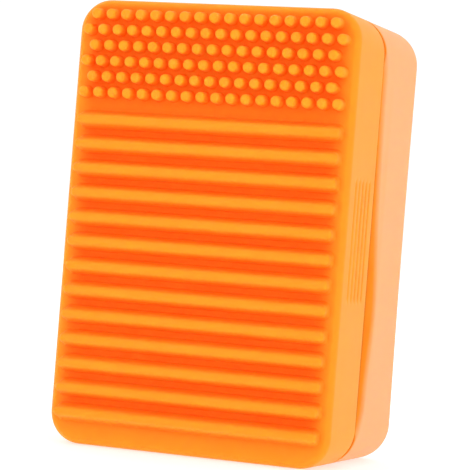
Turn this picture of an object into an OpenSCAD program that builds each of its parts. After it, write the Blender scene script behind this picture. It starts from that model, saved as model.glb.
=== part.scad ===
// Block curry comb: two silicone mouldings glued at a seam round a stiff plate and two foam blocks.
// It stands on its short end: +Z runs along its height, -Y is the working face, +Y is the back,
// and the origin is at the centre of the bounding box, on the surface that it stands on.

/* [Block] */
// Width across the working face
block_w = 88; // [84:0.5:96]
// Height, standing on the short end
block_h = 130; // [126:1:140]
// Depth from the nub tips to the back
block_d = 64; // [58:1:70]
// Distance from the nub tips back to the seam
seam_depth = 25; // [22:0.5:30]
// Radius of the four corners of the outline
corner_r = 10.5; // [9:0.5:13]
// Radius round the edge of the working face
front_edge_r = 2.5; // [2:0.5:4]
// Radius round the edge of the back
back_edge_r = 5; // [4:0.5:8]
// Chamfer of both mouldings where they meet at the seam
seam_chamfer = 0.4; // [0.2:0.1:1]

/* [Nubs] */
// Height of the nubs and bars above the floor of the working face
nub_h = 4; // [3:0.1:5]
// Diameter of a nub
nub_d = 3.4; // [3:0.1:4]
// Distance between nubs, along a row and from row to row
nub_pitch = 4.55; // [4.2:0.05:4.6]
// Number of rows
nub_rows = 6; // [2:1:6]
// Nubs in the first row; every other row has one more
nub_count = 17; // [9:1:17]
// Distance of the first row below the top of the block
nub_margin = 4.7; // [4.5:0.1:6]

/* [Bars] */
// Number of bars across the working face
bar_count = 13; // [1:1:13]
// Distance from bar to bar
bar_pitch = 7.09; // [6:0.01:7.2]
// Width of a bar
bar_w = 4; // [3:0.1:4.5]
// Length of a bar
bar_len = 79.5; // [60:0.5:80]
// Distance of the first bar below the top of the block
bar_margin = 35.35; // [34:0.05:37]

/* [Grip] */
// Number of fine grip lines on each long side of the pad
line_count = 5; // [1:1:6]
// Distance from the floor of the working face back to the first line
line_margin = 5.3; // [4:0.1:6]
// Distance from line to line
line_pitch = 2.8; // [2:0.1:2.8]
// Width and depth of a line
line_w = 0.8; // [0.4:0.1:1.2]
// Length of the lines
line_len = 35; // [20:1:60]
// Depth of the finger scoop along most of the seam
scoop_base = 2.1; // [1:0.1:2.6]
// Extra depth of the scoop where the fingertips curl in
scoop_extra = 2.9; // [0:0.1:3]
// Height of the deepest place above the middle of the block
scoop_peak = -19; // [-25:1:25]
// Half-length of the deep place
scoop_spread = 12; // [8:1:16]

/* [Inside] */
// Wall of the mouldings at the top and bottom ends
end_wall = 6; // [5:0.5:8]
// Wall of the front pad at its long sides
pad_wall = 6; // [5:0.5:8]
// Wall of the back shell at its long sides, behind the finger scoops
grip_wall = 10.5; // [10:0.5:12]
// Rubber behind the working face, and in the back wall
face_wall = 5; // [4:0.5:6]
// Thickness of the core plate
plate_t = 3; // [2:0.5:4]
// Distance of the plate's edge from the long sides
plate_inset_w = 8; // [7.5:0.5:9]
// Distance of the plate's edge from the ends
plate_inset_h = 3.5; // [3:0.5:4.5]
// Diameter of the lightening holes in the plate
plate_hole_d = 18; // [10:1:20]
// Space between a foam block and the walls of its pocket
foam_gap = 0.3; // [0.2:0.1:1]

/* [Hidden] */
$fn = 48;

mid_z = block_h / 2;
tip_y = -block_d / 2;
floor_y = tip_y + nub_h;
seam_y = tip_y + seam_depth;
pad_t = seam_y - floor_y;
shell_t = block_d / 2 - seam_y;
// Pockets of the two mouldings, and the corner radius that they and the foam share
pad_pocket = [block_w - 2 * pad_wall, block_h - 2 * end_wall];
shell_pocket = [block_w - 2 * grip_wall, block_h - 2 * end_wall];
pocket_r = corner_r - 4;
plate_size = [block_w - 2 * plate_inset_w, block_h - 2 * plate_inset_h];
plate_r = corner_r - 3.5;
// The scoop is a body turned about an upright axis this far outside the side wall
scoop_axis_out = 11;
scoop_half_len = 60;
scoop_run_out = 14;
scoop_miss = 0.4;
scoop_steps = 40;
// How far nubs and bars are sunk into the pad, so that they also meet its rounded edge
root_h = 3;
overlap = 0.5;

// A smooth rise from 0 to 1
function ease(t) = let (s = min(1, max(0, t))) s * s * (3 - 2 * s);

// Depth of the finger scoop at the seam, u above the middle of the block
function scoop_depth(u) =
    -scoop_miss
    + (scoop_base + scoop_miss) * ease((scoop_half_len - abs(u)) / scoop_run_out)
    + scoop_extra * exp(-pow((u - scoop_peak) / scoop_spread, 2));

module rounded_rect(size, r) {
    square([size[0] - 2 * r, size[1]], center = true);
    square([size[0], size[1] - 2 * r], center = true);
    for (sx = [-1, 1], sy = [-1, 1])
        translate([sx * (size[0] / 2 - r), sy * (size[1] / 2 - r)])
            circle(r);
}

// Section of a moulding from its middle out to its side, with the seam along the X axis
module half_section(reach, depth, edge_r) {
    difference() {
        union() {
            square([reach - edge_r, depth]);
            square([reach, depth - edge_r]);
            intersection() {
                square([reach, depth]);
                translate([reach - edge_r, depth - edge_r])
                    circle(edge_r);
            }
        }
        translate([reach, 0])
            rotate(45)
                square(seam_chamfer * sqrt(2), center = true);
    }
}

module full_section(reach, depth, edge_r) {
    half_section(reach, depth, edge_r);
    mirror([1, 0])
        half_section(reach, depth, edge_r);
}

// The outer shape of a moulding, seam down on the XY plane and its face upwards
module outer_block(depth, edge_r) {
    run_w = block_w - 2 * corner_r;
    run_h = block_h - 2 * corner_r;
    for (sx = [-1, 1], sy = [-1, 1])
        translate([sx * run_w / 2, sy * run_h / 2, 0])
            rotate_extrude()
                half_section(corner_r, depth, edge_r);
    rotate([90, 0, 0])
        linear_extrude(run_h, center = true)
            full_section(block_w / 2, depth, edge_r);
    rotate([90, 0, 90])
        linear_extrude(run_w, center = true)
            full_section(block_h / 2, depth, edge_r);
}

// Puts a shape that is drawn seam down onto the seam, facing the working side or the back
module facing_front() {
    translate([0, seam_y, mid_z])
        rotate([90, 0, 0])
            children();
}

module facing_back() {
    translate([0, seam_y, mid_z])
        rotate([-90, 0, 0])
            children();
}

// A pocket that is open at the seam, with the rebate that holds half of the core plate
module pocket(size, depth) {
    translate([0, 0, -overlap])
        linear_extrude(depth + overlap)
            rounded_rect(size, pocket_r);
    translate([0, 0, -overlap])
        linear_extrude(plate_t / 2 + overlap)
            rounded_rect(plate_size, plate_r);
}

module nub(d) {
    cylinder(d = d, h = root_h + nub_h - d / 2);
    translate([0, 0, root_h + nub_h - d / 2])
        sphere(d = d);
}

module nub_field() {
    for (row = [0 : nub_rows - 1]) {
        count = nub_count + row % 2;
        for (i = [0 : count - 1])
            translate([
                (i - (count - 1) / 2) * nub_pitch,
                block_h / 2 - nub_margin - row * nub_pitch,
                pad_t - root_h
            ])
                nub(nub_d);
    }
}

module bar() {
    rotate([90, 0, 90])
        linear_extrude(bar_len, center = true) {
            translate([-bar_w / 2, 0])
                square([bar_w, root_h + nub_h - bar_w / 2]);
            translate([0, root_h + nub_h - bar_w / 2])
                circle(d = bar_w);
        }
}

module bar_field() {
    for (i = [0 : bar_count - 1])
        translate([0, block_h / 2 - bar_margin - i * bar_pitch, pad_t - root_h])
            bar();
}

// Fine upright grooves in both long sides of the pad
module grip_lines() {
    for (side = [-1, 1], i = [0 : line_count - 1])
        translate([side * block_w / 2, 0, pad_t - line_margin - i * line_pitch])
            cube([line_w, line_len, line_w], center = true);
}

// The hollow for the fingertips, seen along the seam on one long side
module finger_scoop() {
    steps = [for (i = [0 : scoop_steps]) scoop_half_len * (2 * i / scoop_steps - 1)];
    rotate_extrude(convexity = 4)
        polygon(concat(
            [[0, -scoop_half_len]],
            [for (u = steps) [scoop_axis_out + scoop_depth(u), u]],
            [[0, scoop_half_len]]
        ));
}

module front_pad() {
    color("darkorange")
        facing_front()
            difference() {
                union() {
                    outer_block(pad_t, front_edge_r);
                    nub_field();
                    bar_field();
                }
                pocket(pad_pocket, pad_t - face_wall);
                grip_lines();
            }
}

module back_shell() {
    color("sandybrown")
        difference() {
            facing_back()
                difference() {
                    outer_block(shell_t, back_edge_r);
                    pocket(shell_pocket, shell_t - face_wall);
                }
            for (side = [-1, 1])
                translate([side * (block_w / 2 + scoop_axis_out), seam_y, mid_z])
                    finger_scoop();
        }
}

module core_plate() {
    color("dimgray")
        facing_front()
            difference() {
                translate([0, 0, -plate_t / 2])
                    linear_extrude(plate_t)
                        rounded_rect(plate_size, plate_r);
                for (x = [-1, 1], y = [-1.5 : 1.5])
                    translate([x * plate_size[0] / 4, y * plate_size[1] / 4.6, -plate_t])
                        cylinder(d = plate_hole_d, h = 2 * plate_t);
            }
}

module foam_block(size, depth) {
    translate([0, 0, plate_t / 2])
        linear_extrude(depth - plate_t / 2 - foam_gap)
            rounded_rect(size - [2, 2] * foam_gap, pocket_r);
}

module front_foam() {
    color("whitesmoke")
        facing_front()
            foam_block(pad_pocket, pad_t - face_wall);
}

module back_foam() {
    color("gainsboro")
        facing_back()
            foam_block(shell_pocket, shell_t - face_wall);
}

front_pad();
back_shell();
core_plate();
front_foam();
back_foam();
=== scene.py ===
"""Looks of the block curry comb: two silicone mouldings round a core plate and two foam blocks.

All lengths are in metres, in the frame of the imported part: +Z is the height of the block, the
working face looks towards -Y, and the origin is on the floor below the middle of the block.
"""

import math

import bpy
import numpy as np
from mathutils import Matrix, Vector
from mathutils.geometry import delaunay_2d_cdt


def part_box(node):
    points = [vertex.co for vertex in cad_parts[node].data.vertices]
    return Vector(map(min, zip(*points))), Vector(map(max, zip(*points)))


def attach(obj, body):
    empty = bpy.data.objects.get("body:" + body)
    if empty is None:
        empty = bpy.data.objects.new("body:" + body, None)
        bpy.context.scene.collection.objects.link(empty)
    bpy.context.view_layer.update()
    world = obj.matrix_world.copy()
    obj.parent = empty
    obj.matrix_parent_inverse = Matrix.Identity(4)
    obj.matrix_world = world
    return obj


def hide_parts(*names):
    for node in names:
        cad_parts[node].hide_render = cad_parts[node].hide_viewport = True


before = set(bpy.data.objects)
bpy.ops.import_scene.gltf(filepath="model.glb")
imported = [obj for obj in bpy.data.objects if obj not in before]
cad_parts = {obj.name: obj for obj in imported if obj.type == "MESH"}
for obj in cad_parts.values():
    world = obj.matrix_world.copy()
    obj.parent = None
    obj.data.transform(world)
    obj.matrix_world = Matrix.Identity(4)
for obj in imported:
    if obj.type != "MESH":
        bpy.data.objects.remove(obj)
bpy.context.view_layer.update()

MM = 0.001

# ---------------------------------------------------------------- sizes, from the frame
PAD_LOW, PAD_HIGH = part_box("front_pad")
SHELL_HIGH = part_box("back_shell")[1]
PLATE_LOW, PLATE_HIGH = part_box("core_plate")
FOAM_LOW, FOAM_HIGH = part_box("front_foam")
STUFFING_LOW, STUFFING_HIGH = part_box("back_foam")

HALF_W = PAD_HIGH.x
MID_Z = (PAD_LOW.z + PAD_HIGH.z) / 2
HALF_H = PAD_HIGH.z - MID_Z
TIP_Y = PAD_LOW.y
SEAM_Y = PAD_HIGH.y
BACK_Y = SHELL_HIGH.y
FOAM_GAP = 0.3 * MM

# ---------------------------------------------------------------- the working pad
NUB_HEIGHT = 4 * MM
FLOOR_Y = TIP_Y + NUB_HEIGHT
CORNER_R = 11 * MM
PAD_DRAFT = 1.0 * MM
END_DRAFT = 0.2 * MM
FACE_CORNER_R = 9.2 * MM
FACE_EDGE_R = 2.1 * MM
SEAM_EDGE_R = 0.4 * MM
GAP_WIDTH = 1.5 * MM
GAP_DEPTH = 1.2 * MM
SEAM_SLOT = 0.15 * MM
ROOT_FILLET = 0.4 * MM

NUB_PITCH = 4.55 * MM
NUB_R = 1.6 * MM
NUB_TAPER = 0.1 * MM
NUB_TIP_R = 1.0 * MM
NUB_ROWS = 6
NUBS_IN_FIRST_ROW = 17
NUB_TOP_MARGIN = 4.7 * MM
NUB_SIDES = 24

BAR_COUNT = 13
BAR_PITCH = 7.09 * MM
BAR_HALF_LEN = 40.2 * MM
BAR_HALF_W = 2.4 * MM
BAR_TAPER = 0.6 * MM
BAR_END_TAPER = 0.15 * MM
BAR_TOP_HEIGHT = 2.4 * MM
BAR_END_R = 0.8 * MM
BAR_CORNER_R = 1.7 * MM
BAR_TOP_MARGIN = 35.45 * MM
BAR_STEPS = (48, 2, 6)

# The floor's loose points: turns of the rolled edge that carry a ring, and how far those rings
# stay clear of the root of a nub and of a bar
FLOOR_RING_TURNS = np.radians([12, 24, 36, 0])
NUB_CLEARANCE = 0.35 * MM
BAR_CLEARANCE = 0.3 * MM

LINE_COUNT = 5
LINE_PITCH = 2.77 * MM
LINE_FIRST_Y = TIP_Y + 9.9 * MM
LINE_HALF_LEN = 17.6 * MM
LINE_DEPTH = 0.35 * MM
LINE_REACH = 0.3
LINE_RUN_OUT = 1.2 * MM
LINE_RINGS = 11

# ---------------------------------------------------------------- the palm grip
BACK_EDGE_R = 5 * MM
WAIST = 0.3 * MM
SCOOP_AXIS_OUT = 11 * MM
SCOOP_HALF_LEN = 60 * MM
SCOOP_RUN_OUT = 14 * MM
SCOOP_BASE = 2.1 * MM
SCOOP_EXTRA = 2.6 * MM
SCOOP_PEAK = -19 * MM
SCOOP_SPREAD = 17 * MM
SCOOP_SOFT_RIM = 0.8 * MM
SCOOP_UNDERCUT = 1.5
SCOOP_LIMIT = 6.2 * MM
SCOOP_DEPTH_Y = 15 * MM
# The share of its base depth that the scoop loses towards its top, and the heights that takes
SCOOP_TOP_LOSS = 0.55
SCOOP_LOSS_FROM = -10 * MM
SCOOP_LOSS_SPAN = 55 * MM
SCOOP_END_FADE = 5 * MM

# ---------------------------------------------------------------- painted light and shade in the rubber's colour
# A level from 0 to 1 sets painted light and shade in the rubber's colour: painted shade down to 0
# in the deepest recess, own colour at OPEN_LEVEL on open faces, and painted light above that in
# thin tips.
OPEN_LEVEL = 0.6
# Levels up a bar and up a nub, as shares of OPEN_LEVEL, painted shade low down and lighter up the
# tips:
# the level at the floor, then steps of (gain, start, span), with start and span as shares of the
# height
BAR_FLOOR_LEVEL = 0.05
BAR_LEVEL_STEPS = [(0.3, 0, 0.05), (0.4, 0, 0.5), (0.25, 0.78, 0.2)]
NUB_FLOOR_LEVEL = 0.25
NUB_LEVEL_STEPS = [(0.5, 0, 0.35), (0.35, 0.45, 0.45)]
# Painted light: a paler rim along the long edges of the pad
RIM_WIDTH = 8 * MM
RIM_GAIN = 1.3
RIM_POWER = 1.5
RIM_END_Y = SEAM_Y - 10 * MM
# The shade in the scoop and along the seam of the shell
SHADE_LOSS = 0.67
SCOOP_SHADE_DEPTH = 0.95 * MM
SCOOP_SHADE_END = 14 * MM
SCOOP_SHADE_FADE = 4 * MM
LIP_SHADE = 0.8
LIP_SHADE_WIDTH = 1.8 * MM
GAP_SHADE = 0.85
GAP_SHADE_DEPTH = 0.2 * MM
STEEP_FROM = 0.2
STEEP_SPAN = 0.12

# ---------------------------------------------------------------- inside the block
PLATE_CORNER_R = CORNER_R - 3.5 * MM
POCKET_CORNER_R = CORNER_R - 4 * MM
FOAM_EDGE_R = 1.5 * MM
FOAM_CORNER_R = 6.5 * MM
FOAM_WAVE = 0.12 * MM
FOAM_STEPS = (30, 46, 6)

# Steps along the outline of the block: per short side, per long side and per corner
STEPS_X = 84
STEPS_Z = 130
STEPS_CORNER = 16
SHARP_ANGLE = math.radians(50)


class Shape:
    """Vertices and faces of one closed mesh while it is put together."""

    def __init__(self):
        self.points = []
        self.faces = []

    def add(self, points):
        """Adds points and returns their numbers."""
        first = len(self.points)
        self.points.extend(tuple(float(c) for c in p) for p in points)
        return list(range(first, len(self.points)))

    def join(self, ring_a, ring_b, flip=False):
        """Joins two closed rings with a band of quads."""
        count = len(ring_a)
        for i in range(count):
            j = (i + 1) % count
            quad = (ring_a[i], ring_b[i], ring_b[j], ring_a[j])
            self.faces.append(quad[::-1] if flip else quad)

    def cap(self, ring, flip=False):
        """Closes a ring with one face."""
        self.faces.append(tuple(reversed(ring)) if flip else tuple(ring))

    def build(self, name, level=None):
        """Makes the object. level is a function that gives each point's painted light and shade,
        for its colour.
        """
        mesh = bpy.data.meshes.new(name)
        mesh.from_pydata(self.points, [], self.faces)
        if level is not None:
            attribute = mesh.attributes.new("level", "FLOAT", "POINT")
            values = level(np.array(self.points))
            attribute.data.foreach_set("value", values.astype(np.float32))
        mesh.shade_smooth()
        mesh.set_sharp_from_angle(angle=SHARP_ANGLE)
        piece = bpy.data.objects.new(name, mesh)
        bpy.context.scene.collection.objects.link(piece)
        return piece


def outline(half_x, half_z, radius, steps_x=STEPS_X, steps_z=STEPS_Z, steps_corner=STEPS_CORNER):
    """Points (x, z) of a rounded rectangle about the origin, anticlockwise from its right side."""
    points = []
    for corner in range(4):
        sign_x = 1 if corner in (0, 3) else -1
        sign_z = 1 if corner in (0, 1) else -1
        centre = np.array([sign_x * (half_x - radius), sign_z * (half_z - radius)])
        angles = np.radians(90) * (corner + np.linspace(0, 1, steps_corner + 1))
        arc = centre + radius * np.column_stack([np.cos(angles), np.sin(angles)])
        points.extend(arc)
        run = steps_x if corner % 2 == 0 else steps_z
        length = 2 * ((half_x if corner % 2 == 0 else half_z) - radius)
        along = np.array([-math.sin(angles[-1]), math.cos(angles[-1])])
        points.extend(arc[-1] + along * length * i / run for i in range(1, run))
    return np.array(points)


def inward(points):
    """Unit normals of a closed outline, pointing to its inside."""
    along = np.roll(points, -1, axis=0) - np.roll(points, 1, axis=0)
    normal = np.column_stack([-along[:, 1], along[:, 0]])
    return normal / np.linalg.norm(normal, axis=1)[:, None]


def rounded(depth, radius):
    """How far a rounded edge has drawn in at a depth below its top."""
    below = radius - min(max(depth, 0), radius)
    return radius - math.sqrt(max(radius**2 - below**2, 0))


def ease(t):
    """Smooth step from 0 to 1."""
    t = np.clip(t, 0, 1)
    return t * t * (3 - 2 * t)


def in_frame(outline_points, y):
    """Points of an outline about the block's middle, put at a depth y in the row frame."""
    depth = np.broadcast_to(y, len(outline_points))
    return np.column_stack([outline_points[:, 0], depth, outline_points[:, 1] + MID_Z])


# ---------------------------------------------------------------- front pad
def face_outline(inset):
    """Outline of the working face, drawn in by an inset."""
    return outline(HALF_W - PAD_DRAFT - inset, HALF_H - END_DRAFT - inset, FACE_CORNER_R - inset)


def face_inset(x, z):
    """Distance from the outline of the working face, positive inside."""
    half = np.array([HALF_W - PAD_DRAFT, HALF_H - END_DRAFT]) - FACE_CORNER_R
    out = np.abs(np.column_stack([x, z])) - half
    reach = np.linalg.norm(np.maximum(out, 0), axis=1) + np.minimum(out.max(axis=1), 0)
    return FACE_CORNER_R - reach


def face_y(x, z):
    """Depth of the working face's floor, which rolls back at its edge."""
    over = np.clip(FACE_EDGE_R - face_inset(x, z), 0, FACE_EDGE_R)
    return FLOOR_Y + FACE_EDGE_R - np.sqrt(FACE_EDGE_R**2 - over**2)


def nub_centres():
    """Centres (x, z) of the nubs, in staggered rows from the top down."""
    centres = []
    for row in range(NUB_ROWS):
        count = NUBS_IN_FIRST_ROW + row % 2
        z = HALF_H - NUB_TOP_MARGIN - row * NUB_PITCH
        centres += [((i - (count - 1) / 2) * NUB_PITCH, z) for i in range(count)]
    return np.array(centres)


def bar_heights():
    """Heights of the bars above the middle of the block, from the top down."""
    return [HALF_H - BAR_TOP_MARGIN - i * BAR_PITCH for i in range(BAR_COUNT)]


def root_profile():
    """Spread and height of the small fillet where a nub or bar meets the floor."""
    angles = np.radians(np.linspace(0, 90, 5))
    return [(ROOT_FILLET * (1 - math.sin(a)), ROOT_FILLET * (1 - math.cos(a))) for a in angles]


def rise(shape, rings, heights):
    """Lofts rings of (x, z) points up from the floor. The first one lies on the floor."""
    lift = face_y(rings[0][:, 0], rings[0][:, 1]) - FLOOR_Y
    numbers = []
    for ring, height in zip(rings, heights):
        fade = 1 - min(height / ROOT_FILLET, 1)
        numbers.append(shape.add(in_frame(ring, FLOOR_Y - height + lift * fade)))
    for low, high in zip(numbers, numbers[1:]):
        shape.join(low, high, flip=True)
    shape.cap(numbers[-1])
    return numbers[0]


def add_nub(shape, centre):
    """Adds a round-tipped nub and returns its root loop."""
    angles = np.linspace(0, 2 * math.pi, NUB_SIDES, endpoint=False)
    circle = np.column_stack([np.cos(angles), np.sin(angles)])
    profile = [(NUB_R + spread, height) for spread, height in root_profile()]
    shaft = NUB_HEIGHT - NUB_TIP_R
    profile += [(NUB_R - NUB_TAPER / 2, shaft / 2), (NUB_R - NUB_TAPER, shaft)]
    for angle in np.radians(np.linspace(0, 90, 7)[1:]):
        inset = NUB_TAPER + NUB_TIP_R * (1 - math.cos(angle))
        profile.append((NUB_R - inset, shaft + NUB_TIP_R * math.sin(angle)))
    rings = [centre + radius * circle for radius, _ in profile]
    return rise(shape, rings, [height for _, height in profile])


def add_bar(shape, z):
    """Adds a round-topped bar and returns its root loop."""
    profile = [(-spread, -spread, height) for spread, height in root_profile()]
    straight = NUB_HEIGHT - BAR_TOP_HEIGHT
    profile.append((BAR_END_TAPER / 2, BAR_TAPER / 2, (ROOT_FILLET + straight) / 2))
    for angle in np.radians(np.linspace(0, 85, 12)):
        depth = BAR_TOP_HEIGHT * (1 - math.sin(angle))
        inset_z = BAR_TAPER + (BAR_HALF_W - BAR_TAPER) * (1 - math.cos(angle))
        profile.append((BAR_END_TAPER + rounded(depth, BAR_END_R), inset_z, NUB_HEIGHT - depth))
    rings = []
    for inset_x, inset_z, _ in profile:
        radius = min(BAR_CORNER_R, 0.9 * (BAR_HALF_W - inset_z))
        ring = outline(BAR_HALF_LEN - inset_x, BAR_HALF_W - inset_z, radius, *BAR_STEPS)
        rings.append(ring + np.array([0, z]))
    return rise(shape, rings, [height for _, _, height in profile])


def floor_points():
    """Loose points that shape the rolled edge of the floor and keep its triangles even."""
    insets = FACE_EDGE_R * (1 - np.sin(FLOOR_RING_TURNS))
    points = np.concatenate([face_outline(inset) for inset in insets])
    apart = np.linalg.norm(points[:, None] - nub_centres()[None], axis=2).min(axis=1)
    keep = apart > NUB_R + ROOT_FILLET + NUB_CLEARANCE
    for z in bar_heights():
        beside = np.abs(points[:, 1] - z) < BAR_HALF_W + ROOT_FILLET + BAR_CLEARANCE
        along = np.abs(points[:, 0]) < BAR_HALF_LEN + ROOT_FILLET + BAR_CLEARANCE
        keep &= ~(beside & along)
    return points[keep]


def inside_loop(centroids, loop):
    """Which centroids lie inside a closed loop of (x, z) points."""
    nxt = np.roll(loop, -1, axis=0)
    cx, cz = centroids[:, 0, None], centroids[:, 1, None]
    crosses = (loop[:, 1] > cz) != (nxt[:, 1] > cz)
    span = np.where(nxt[:, 1] == loop[:, 1], 1e-12, nxt[:, 1] - loop[:, 1])
    at = loop[:, 0] + (cz - loop[:, 1]) / span * (nxt[:, 0] - loop[:, 0])
    return (crosses & (cx < at)).sum(axis=1) % 2 == 1


def add_floor(shape, outer_ring, loops):
    """Fills the floor between the outer ring and the roots of the nubs and bars."""
    numbers = list(outer_ring)
    edges = [(i, (i + 1) % len(outer_ring)) for i in range(len(outer_ring))]
    for loop in loops:
        first = len(numbers)
        numbers += loop
        edges += [(first + i, first + (i + 1) % len(loop)) for i in range(len(loop))]
    loose = floor_points()
    numbers += shape.add(in_frame(loose, face_y(loose[:, 0], loose[:, 1])))
    flat = np.array([(shape.points[n][0], shape.points[n][2] - MID_Z) for n in numbers])
    result = delaunay_2d_cdt([Vector(p / MM) for p in flat], edges, [], 1, 1e-6)
    coords, triangles, sources = np.array(result[0]) * MM, np.array(result[2]), result[3]
    centroids = coords[triangles].mean(axis=1)
    keep = np.ones(len(triangles), bool)
    for loop in loops:
        ring = np.array([(shape.points[n][0], shape.points[n][2] - MID_Z) for n in loop])
        offset = np.abs(centroids - ring.mean(axis=0))
        near = np.flatnonzero((offset < np.ptp(ring, axis=0) / 2).all(axis=1))
        keep[near[inside_loop(centroids[near], ring)]] = False
    for triangle in triangles[keep]:
        shape.faces.append(tuple(numbers[sources[v][0]] for v in triangle))


def grip_groove(y, z):
    """How deep the fine grip lines cut a long side, at a depth y and heights z above the middle."""
    phase = (y - LINE_FIRST_Y) / LINE_PITCH
    nearest = np.clip(np.round(phase), 0, LINE_COUNT - 1)
    across = np.clip(1 - np.abs(phase - nearest) / LINE_REACH, 0, 1)
    ends = ease((LINE_HALF_LEN - np.abs(z)) / LINE_RUN_OUT)
    return LINE_DEPTH * ease(across) * ends


def pad_wall_depths():
    """Depths of the rings down the side wall of the pad, close together at the grip lines."""
    start = FLOOR_Y + FACE_EDGE_R
    fine_from = LINE_FIRST_Y - LINE_PITCH * 0.4
    fine_to = LINE_FIRST_Y + LINE_PITCH * (LINE_COUNT - 0.6)
    fine = np.arange(fine_from, fine_to, LINE_PITCH / LINE_RINGS)
    coarse = np.linspace(start, fine_from, 3, endpoint=False)
    rest = np.linspace(fine_to, SEAM_Y - SEAM_SLOT / 2 - SEAM_EDGE_R, 4)
    return np.concatenate([coarse, fine, rest])


def on_long_side(points):
    """1 on the straight long sides of an outline, fading to 0 before the corners."""
    straight = ease((HALF_H - CORNER_R - np.abs(points[:, 1])) / (2 * MM))
    return straight * (np.abs(points[:, 0]) > HALF_W / 2)


def add_pocket(shape, rim, side, foam_low, foam_high, flip):
    """Closes a moulding inwards from its rim: seam land, plate rebate and foam pocket."""
    rebate_y = SEAM_Y + side * (PLATE_HIGH.y - PLATE_LOW.y) / 2
    floor_y = (foam_high.y if side > 0 else foam_low.y) + side * FOAM_GAP
    plate_ring = outline(PLATE_HIGH.x, PLATE_HIGH.z - MID_Z, PLATE_CORNER_R)
    pocket_ring = outline(foam_high.x + FOAM_GAP, foam_high.z - MID_Z + FOAM_GAP, POCKET_CORNER_R)
    rings = [rim]
    rings.append(shape.add(in_frame(plate_ring, SEAM_Y + side * SEAM_SLOT / 2)))
    rings.append(shape.add(in_frame(plate_ring, rebate_y)))
    rings.append(shape.add(in_frame(pocket_ring, rebate_y)))
    rings.append(shape.add(in_frame(pocket_ring, floor_y)))
    for outer, inner in zip(rings, rings[1:]):
        shape.join(outer, inner, flip=flip)
    shape.cap(rings[-1], flip=not flip)


def level_at(height, floor_level, steps):
    """Level at heights from 0 on the floor to 1 at the tips."""
    return floor_level + sum(gain * ease((height - start) / span) for gain, start, span in steps)


def pad_painted_light(points):
    """Painted light and shade of the pad: painted shade on the floor between the bars, painted
    light in the nub tips and towards the long edges.
    """
    x, z = points[:, 0], points[:, 2] - MID_Z
    height = np.clip((FLOOR_Y - points[:, 1]) / NUB_HEIGHT, 0, 1)
    bar = level_at(height, BAR_FLOOR_LEVEL, BAR_LEVEL_STEPS)
    nub = level_at(height, NUB_FLOOR_LEVEL, NUB_LEVEL_STEPS)
    among_nubs = z > HALF_H - NUB_TOP_MARGIN - (NUB_ROWS - 0.5) * NUB_PITCH
    # Painted light: the colour pales towards the long edges of the face, up to RIM_END_Y
    near_edge = np.clip(1 - (HALF_W - PAD_DRAFT - np.abs(x)) / RIM_WIDTH, 0, 1)
    rim = np.clip(RIM_GAIN * near_edge**RIM_POWER, 0, 1) * (points[:, 1] < RIM_END_Y)
    return OPEN_LEVEL * np.maximum(np.where(among_nubs, nub, bar), rim)


def build_front_pad():
    """The working pad: face, side wall, seam edge and pocket, with its nubs and bars."""
    shape = Shape()
    rings = []
    for angle in np.radians(np.linspace(55, 90, 6)[:-1]):
        inset = FACE_EDGE_R * (1 - math.sin(angle))
        ring = face_outline(inset)
        rings.append(in_frame(ring, FLOOR_Y + FACE_EDGE_R * (1 - math.cos(angle))))
    depths = pad_wall_depths()
    for y in depths:
        draft = (SEAM_Y - y) / (SEAM_Y - depths[0])
        radius = CORNER_R + (FACE_CORNER_R - CORNER_R) * draft
        ring = outline(HALF_W - PAD_DRAFT * draft, HALF_H - END_DRAFT * draft, radius)
        groove = grip_groove(y, ring[:, 1]) * on_long_side(ring)
        rings.append(in_frame(ring + inward(ring) * groove[:, None], y))
    for angle in np.radians(np.linspace(0, 90, 5)[1:]):
        inset = SEAM_EDGE_R * (1 - math.cos(angle))
        ring = outline(HALF_W - inset, HALF_H - inset, CORNER_R - inset)
        rings.append(in_frame(ring, SEAM_Y - SEAM_SLOT / 2 - SEAM_EDGE_R * (1 - math.sin(angle))))
    numbers = [shape.add(ring) for ring in rings]
    for front, back in zip(numbers, numbers[1:]):
        shape.join(front, back)
    loops = [add_nub(shape, centre) for centre in nub_centres()]
    loops += [add_bar(shape, z) for z in bar_heights()]
    add_floor(shape, numbers[0], loops)
    add_pocket(shape, numbers[-1], -1, FOAM_LOW, FOAM_HIGH, flip=False)
    return shape.build("silicone_front_pad", pad_painted_light)


# ---------------------------------------------------------------- back shell
def scoop_depth(u):
    """Depth of the finger scoop at the seam, at heights u above the middle."""
    base = SCOOP_BASE * ease((SCOOP_HALF_LEN - np.abs(u)) / SCOOP_RUN_OUT)
    base *= 1 - SCOOP_TOP_LOSS * ease((u - SCOOP_LOSS_FROM) / SCOOP_LOSS_SPAN)
    return base + SCOOP_EXTRA * np.exp(-(((u - SCOOP_PEAK) / SCOOP_SPREAD) ** 2))


def scoop_inset(points, y):
    """How far the long sides of the shell draw in at a depth y: the scoop, and the slight waist."""
    depth = scoop_depth(points[:, 1])
    reach = np.sqrt((SCOOP_AXIS_OUT + depth) ** 2 - SCOOP_AXIS_OUT**2) + SCOOP_SOFT_RIM
    hollow = SCOOP_UNDERCUT * depth * (1 - ease((y - SEAM_Y) / reach))
    hollow = SCOOP_LIMIT * np.tanh(hollow / SCOOP_LIMIT)
    fade = ease((SCOOP_HALF_LEN - np.abs(points[:, 1])) / SCOOP_END_FADE)
    waist = WAIST * ease((y - SEAM_Y) / SCOOP_DEPTH_Y)
    waist = waist * ease(1.1 - np.abs(points[:, 1]) / SCOOP_HALF_LEN)
    return (hollow * fade + waist) * (np.abs(points[:, 0]) > HALF_W / 2)


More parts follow.
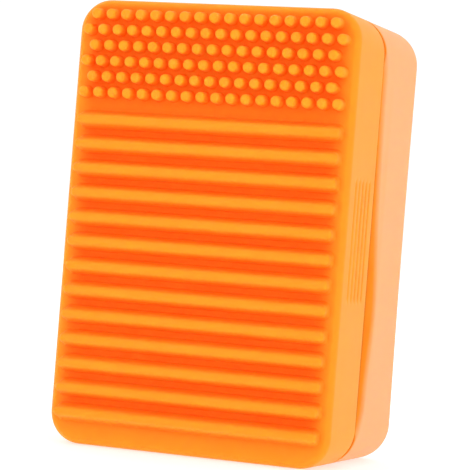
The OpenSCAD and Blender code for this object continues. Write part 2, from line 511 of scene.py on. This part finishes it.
def shell_painted_shade(points):
    """Painted shade of the grip: its own colour on its outer skin, painted shade in the scoops and
    the seam.
    """
    half = np.array([HALF_W, HALF_H]) - CORNER_R
    out = np.abs(np.column_stack([points[:, 0], points[:, 2] - MID_Z])) - half
    beyond = np.linalg.norm(np.maximum(out, 0), axis=1) + np.minimum(out.max(axis=1), 0)
    recess = CORNER_R - beyond
    behind = points[:, 1] - SEAM_Y
    near_seam = ease((SCOOP_SHADE_END - behind) / SCOOP_SHADE_FADE)
    hollow = np.clip(recess / SCOOP_SHADE_DEPTH, 0, 1) * near_seam
    lip = LIP_SHADE * ease(1 - (behind - GAP_WIDTH) / LIP_SHADE_WIDTH)
    steep = ease((recess / (behind + 0.2 * MM) - STEEP_FROM) / STEEP_SPAN)
    in_gap = GAP_SHADE * ease(recess / GAP_SHADE_DEPTH) * (behind < GAP_WIDTH + SEAM_EDGE_R)
    skin = 1 - SHADE_LOSS * np.maximum(hollow, lip)
    return OPEN_LEVEL * skin * (1 - np.maximum(steep, in_gap))


def build_back_shell():
    """The palm grip: seam gap, scooped side wall, rounded back and pocket."""
    shape = Shape()
    rings = []
    shoulder = [(GAP_DEPTH, 0), (GAP_DEPTH, GAP_WIDTH * 0.6), (GAP_DEPTH * 0.75, GAP_WIDTH * 0.9)]
    for angle in np.radians(np.linspace(90, 0, 6)[:-1]):
        inset = SEAM_EDGE_R * (1 - math.cos(angle))
        shoulder.append((inset, GAP_WIDTH + SEAM_EDGE_R * (1 - math.sin(angle))))
    for inset, back in shoulder:
        ring = outline(HALF_W - inset, HALF_H - inset, CORNER_R - inset)
        y = SEAM_Y + SEAM_SLOT / 2 + back
        rings.append(in_frame(ring + inward(ring) * scoop_inset(ring, y)[:, None], y))
    wall_start = SEAM_Y + SEAM_SLOT / 2 + GAP_WIDTH + SEAM_EDGE_R
    scoop_end = SEAM_Y + SCOOP_DEPTH_Y
    wall_end = BACK_Y - BACK_EDGE_R
    depths = np.concatenate([
        np.linspace(wall_start, scoop_end, 34, endpoint=False),
        np.linspace(scoop_end, wall_end, 8),
    ])
    for y in depths:
        ring = outline(HALF_W, HALF_H, CORNER_R)
        rings.append(in_frame(ring + inward(ring) * scoop_inset(ring, y)[:, None], y))
    for angle in np.radians(np.linspace(0, 90, 12)[1:]):
        inset = BACK_EDGE_R * (1 - math.cos(angle))
        ring = outline(HALF_W - inset, HALF_H - inset, CORNER_R - inset)
        y = wall_end + BACK_EDGE_R * math.sin(angle)
        rings.append(in_frame(ring + inward(ring) * scoop_inset(ring, y)[:, None], y))
    numbers = [shape.add(ring) for ring in rings]
    for front, back in zip(numbers, numbers[1:]):
        shape.join(front, back)
    shape.cap(numbers[-1], flip=True)
    add_pocket(shape, numbers[0], 1, STUFFING_LOW, STUFFING_HIGH, flip=True)
    return shape.build("silicone_back_shell", shell_painted_shade)


# ---------------------------------------------------------------- foam blocks
def build_foam(name, low, high, seed):
    """A die-cut block of foam, with soft edges and faces that are not quite flat."""
    shape = Shape()
    half = (high - low) / 2
    middle_x = (low.x + high.x) / 2
    soft = FOAM_EDGE_R
    turns = np.radians(np.linspace(0, 90, 6))
    edge = [(soft * (1 - math.sin(a)), soft * (1 - math.cos(a))) for a in turns]
    walls = [(0, t) for t in np.linspace(soft, 2 * half.y - soft, 8)[1:-1]]
    far_edge = [(inset, 2 * half.y - depth) for inset, depth in reversed(edge)]
    faces = []
    for shrink in np.linspace(0.15, 0.9, 6):
        half_x, half_z = (half.x - soft) * shrink, (half.z - soft) * shrink
        faces.append(outline(half_x, half_z, FOAM_CORNER_R * shrink, *FOAM_STEPS))
    rings = [(ring, 0) for ring in faces]
    for inset, depth in edge + walls + far_edge:
        ring = outline(half.x - inset, half.z - inset, FOAM_CORNER_R - inset, *FOAM_STEPS)
        rings.append((ring, depth))
    rings += [(ring, 2 * half.y) for ring in reversed(faces)]
    rng = np.random.default_rng(seed)
    numbers = []
    for ring, depth in rings:
        wave = FOAM_WAVE * rng.random(len(ring))
        y = low.y + depth + np.where(depth < half.y, wave, -wave)
        points = in_frame(ring + inward(ring) * wave[:, None], y)
        numbers.append(shape.add(points + [middle_x, 0, 0]))
    for front, back in zip(numbers, numbers[1:]):
        shape.join(front, back)
    shape.cap(numbers[0])
    shape.cap(numbers[-1], flip=True)
    return shape.build(name)


# ---------------------------------------------------------------- materials
def new_material(name):
    """A node material, with its node tree and its main shader."""
    material = bpy.data.materials.new(name)
    material.use_nodes = True
    tree = material.node_tree
    return material, tree, tree.nodes["Principled BSDF"]


def object_space(tree):
    """The piece's own coordinates, which every pattern below is laid out in."""
    return tree.nodes.new("ShaderNodeTexCoord").outputs["Object"]


def noise(tree, place, scale, detail):
    node = tree.nodes.new("ShaderNodeTexNoise")
    node.inputs["Scale"].default_value = scale
    node.inputs["Detail"].default_value = detail
    tree.links.new(place, node.inputs["Vector"])
    return node


def remap(tree, value, to_low, to_high, from_low=0, from_high=1):
    """Maps a value from one range to another."""
    node = tree.nodes.new("ShaderNodeMapRange")
    node.inputs["From Min"].default_value = from_low
    node.inputs["From Max"].default_value = from_high
    node.inputs["To Min"].default_value = to_low
    node.inputs["To Max"].default_value = to_high
    tree.links.new(value, node.inputs["Value"])
    return node.outputs["Result"]


def arithmetic(tree, operation, a, b, clamped=False):
    node = tree.nodes.new("ShaderNodeMath")
    node.operation = operation
    node.use_clamp = clamped
    tree.links.new(a, node.inputs[0])
    tree.links.new(b, node.inputs[1])
    return node.outputs["Value"]


def colour_mix(tree, factor, colour_a, colour_b):
    """Blends from one colour to another by a linked factor."""
    node = tree.nodes.new("ShaderNodeMix")
    node.data_type = "RGBA"
    node.inputs["A"].default_value = (*colour_a, 1)
    node.inputs["B"].default_value = (*colour_b, 1)
    tree.links.new(factor, node.inputs["Factor"])
    return node.outputs["Result"]


def roughen(tree, shader, height, strength, distance):
    """Gives a shader a fine relief."""
    bump = tree.nodes.new("ShaderNodeBump")
    bump.inputs["Strength"].default_value = strength
    bump.inputs["Distance"].default_value = distance
    tree.links.new(height, bump.inputs["Height"])
    tree.links.new(bump.outputs["Normal"], shader.inputs["Normal"])


def painted_hollow_shade(tree):
    """Painted shade from ambient occlusion: OPEN_LEVEL where a point stands clear of the relief
    round it, and less down in a hollow.
    """
    hollow = tree.nodes.new("ShaderNodeAmbientOcclusion")
    hollow.only_local = True
    hollow.samples = 8
    hollow.inputs["Distance"].default_value = 6 * MM
    return remap(tree, hollow.outputs["AO"], 0, OPEN_LEVEL, 0.55, 0.95)


def silicone(name, tones, specular, paint_shade_in_hollows):
    """Satin silicone rubber that glows through itself, with painted shade and light in its colour:
    recesses are painted deeper than faces, thin tips paler.

    tones are (level, colour) stops. The level, painted light and shade, comes from the piece's own
    points, and where it is asked for it is at least what the openness of the place gives, so the
    painted shade stays in the hollows.
    """
    material, tree, shader = new_material(name)
    link = tree.links.new
    place = object_space(tree)
    attribute = tree.nodes.new("ShaderNodeAttribute")
    attribute.attribute_name = "level"
    level = attribute.outputs["Fac"]
    if paint_shade_in_hollows:
        level = arithmetic(tree, "MAXIMUM", painted_hollow_shade(tree), level)
    clouds = noise(tree, place, 60, 3).outputs["Fac"]
    level = arithmetic(tree, "ADD", level, remap(tree, clouds, -0.03, 0.03), clamped=True)
    ramp = tree.nodes.new("ShaderNodeValToRGB")
    stops = ramp.color_ramp.elements
    while len(stops) < len(tones):
        stops.new(0.5)
    for stop, (position, colour) in zip(stops, tones):
        stop.position = position
        stop.color = (*colour, 1)
    link(level, ramp.inputs["Fac"])
    link(ramp.outputs["Color"], shader.inputs["Base Color"])
    link(remap(tree, clouds, 0.42, 0.58), shader.inputs["Roughness"])
    roughen(tree, shader, noise(tree, place, 1400, 4).outputs["Fac"], 0.12, 0.2 * MM)
    shader.inputs["IOR"].default_value = 1.41
    shader.inputs["Specular Tint"].default_value = (1, 0.5, 0.12, 1)
    shader.inputs["Specular IOR Level"].default_value = specular
    shader.inputs["Subsurface Weight"].default_value = 1
    shader.inputs["Subsurface Radius"].default_value = (1.0, 0.35, 0.12)
    shader.inputs["Subsurface Scale"].default_value = 2 * MM
    return material


def foam():
    """Off-white closed-cell foam with pitted cells."""
    material, tree, shader = new_material("foam")
    place = object_space(tree)
    cells = tree.nodes.new("ShaderNodeTexVoronoi")
    cells.inputs["Scale"].default_value = 900
    tree.links.new(place, cells.inputs["Vector"])
    # Painted shade: the cells darken towards their middles, where the bump sinks them into pits
    shade = colour_mix(tree, cells.outputs["Distance"], (0.62, 0.60, 0.55), (0.80, 0.79, 0.75))
    tint = tree.nodes.new("ShaderNodeMix")
    tint.data_type = "RGBA"
    tint.blend_type = "MULTIPLY"
    tint.inputs["Factor"].default_value = 0.25
    tree.links.new(shade, tint.inputs["A"])
    tree.links.new(noise(tree, place, 45, 2).outputs["Color"], tint.inputs["B"])
    tree.links.new(tint.outputs["Result"], shader.inputs["Base Color"])
    roughen(tree, shader, cells.outputs["Distance"], 0.6, 0.4 * MM)
    shader.inputs["Roughness"].default_value = 0.9
    return material


def plate_plastic():
    """Dark moulded polypropylene with a fine etched grain and a little scuffing."""
    material, tree, shader = new_material("plate_plastic")
    place = object_space(tree)
    scuff = noise(tree, place, 120, 6).outputs["Fac"]
    shade = colour_mix(tree, scuff, (0.022, 0.022, 0.024), (0.050, 0.050, 0.052))
    tree.links.new(shade, shader.inputs["Base Color"])
    tree.links.new(remap(tree, scuff, 0.45, 0.7), shader.inputs["Roughness"])
    roughen(tree, shader, noise(tree, place, 2500, 2).outputs["Fac"], 0.25, 0.1 * MM)
    return material


# ---------------------------------------------------------------- pieces
front_pad = build_front_pad()
# The stop at 0 is painted shade on the floor between bars and nubs, OPEN_LEVEL is the rubber's own
# colour, and the stop at 1 is painted light on the nub tips
pad_tones = [
    (0, (1.0, 0.108, 0.003)),
    (OPEN_LEVEL, (1.0, 0.33, 0.022)),
    (1, (1.0, 0.5, 0.035)),
]
front_pad.data.materials.append(silicone("pad_silicone", pad_tones, 0.5, True))
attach(front_pad, "root")
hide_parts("front_pad")

back_shell = build_back_shell()
# The stop at 0 is painted shade in the seam gap and the stop at 0.2 painted shade in the scoops;
# the open stop is partly a paler rubber, partly painted reflection of the sheen on the side walls
grip_tones = [
    (0, (0.74, 0.19, 0.01)),
    (0.2, (1.0, 0.28, 0.014)),
    (OPEN_LEVEL, (1.0, 0.39, 0.158)),
]
back_shell.data.materials.append(silicone("grip_silicone", grip_tones, 0.2, False))
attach(back_shell, "root")
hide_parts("back_shell")

foam_material = foam()
for node, seed in (("front_foam", 1), ("back_foam", 2)):
    block = build_foam("block_" + node, *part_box(node), seed)
    block.data.materials.append(foam_material)
    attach(block, "root")
    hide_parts(node)

plate_material = plate_plastic()
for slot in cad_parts["core_plate"].material_slots:
    slot.material = plate_material

# ---------------------------------------------------------------- camera
LENS = 168.3
CAMERA_PLACE = (0.2265, TIP_Y - 0.5804, MID_Z - 0.0054)
VIEW = Vector((-0.3469, 0.9379, 0.0074)).normalized()
UP_HINT = Vector((-0.0714, -0.0343, 0.9969))
camera_data = bpy.data.cameras.new("camera")
camera_data.lens = LENS
camera_data.clip_start = 0.01
camera = bpy.data.objects.new("camera", camera_data)
bpy.context.scene.collection.objects.link(camera)
right = VIEW.cross(UP_HINT).normalized()
up = right.cross(VIEW)
turn = Matrix((right, up, -VIEW)).transposed().to_4x4()
camera.matrix_world = Matrix.Translation(CAMERA_PLACE) @ turn
bpy.context.scene.camera = camera

# ---------------------------------------------------------------- stage
floor_mesh = bpy.data.meshes.new("floor")
FLOOR_REACH = 6
corners = [(x * FLOOR_REACH, y * FLOOR_REACH, 0) for x, y in ((-1, -1), (1, -1), (1, 1), (-1, 1))]
floor_mesh.from_pydata(corners, [], [(0, 1, 2, 3)])
floor = bpy.data.objects.new("floor", floor_mesh)
bpy.context.scene.collection.objects.link(floor)
floor_material, _, floor_shader = new_material("floor_paper")
floor_shader.inputs["Base Color"].default_value = (0.6, 0.6, 0.6, 1)
floor_shader.inputs["Emission Color"].default_value = (1, 1, 1, 1)
floor_shader.inputs["Emission Strength"].default_value = 0.55
floor_shader.inputs["Roughness"].default_value = 0.8
floor.data.materials.append(floor_material)

world = bpy.data.worlds.new("studio")
bpy.context.scene.world = world
world.use_nodes = True
world_nodes = world.node_tree.nodes
world_nodes["Background"].inputs["Color"].default_value = (1, 1, 1, 1)
world_nodes["Background"].inputs["Strength"].default_value = 1.06


def softbox(name, place, aim, size, power):
    """Adds a square soft light at a place, turned to its aim."""
    data = bpy.data.lights.new(name, "AREA")
    data.shape = "SQUARE"
    data.size = size
    data.energy = power
    light = bpy.data.objects.new(name, data)
    bpy.context.scene.collection.objects.link(light)
    light.location = place
    light.rotation_euler = (Vector(aim) - Vector(place)).to_track_quat("-Z", "Y").to_euler()


MIDDLE = (0, 0, MID_Z)
softbox("key_box", (0.45, -1.0, 0.15), MIDDLE, 0.6, 1.8)
bpy.context.scene.view_settings.view_transform = "Standard"
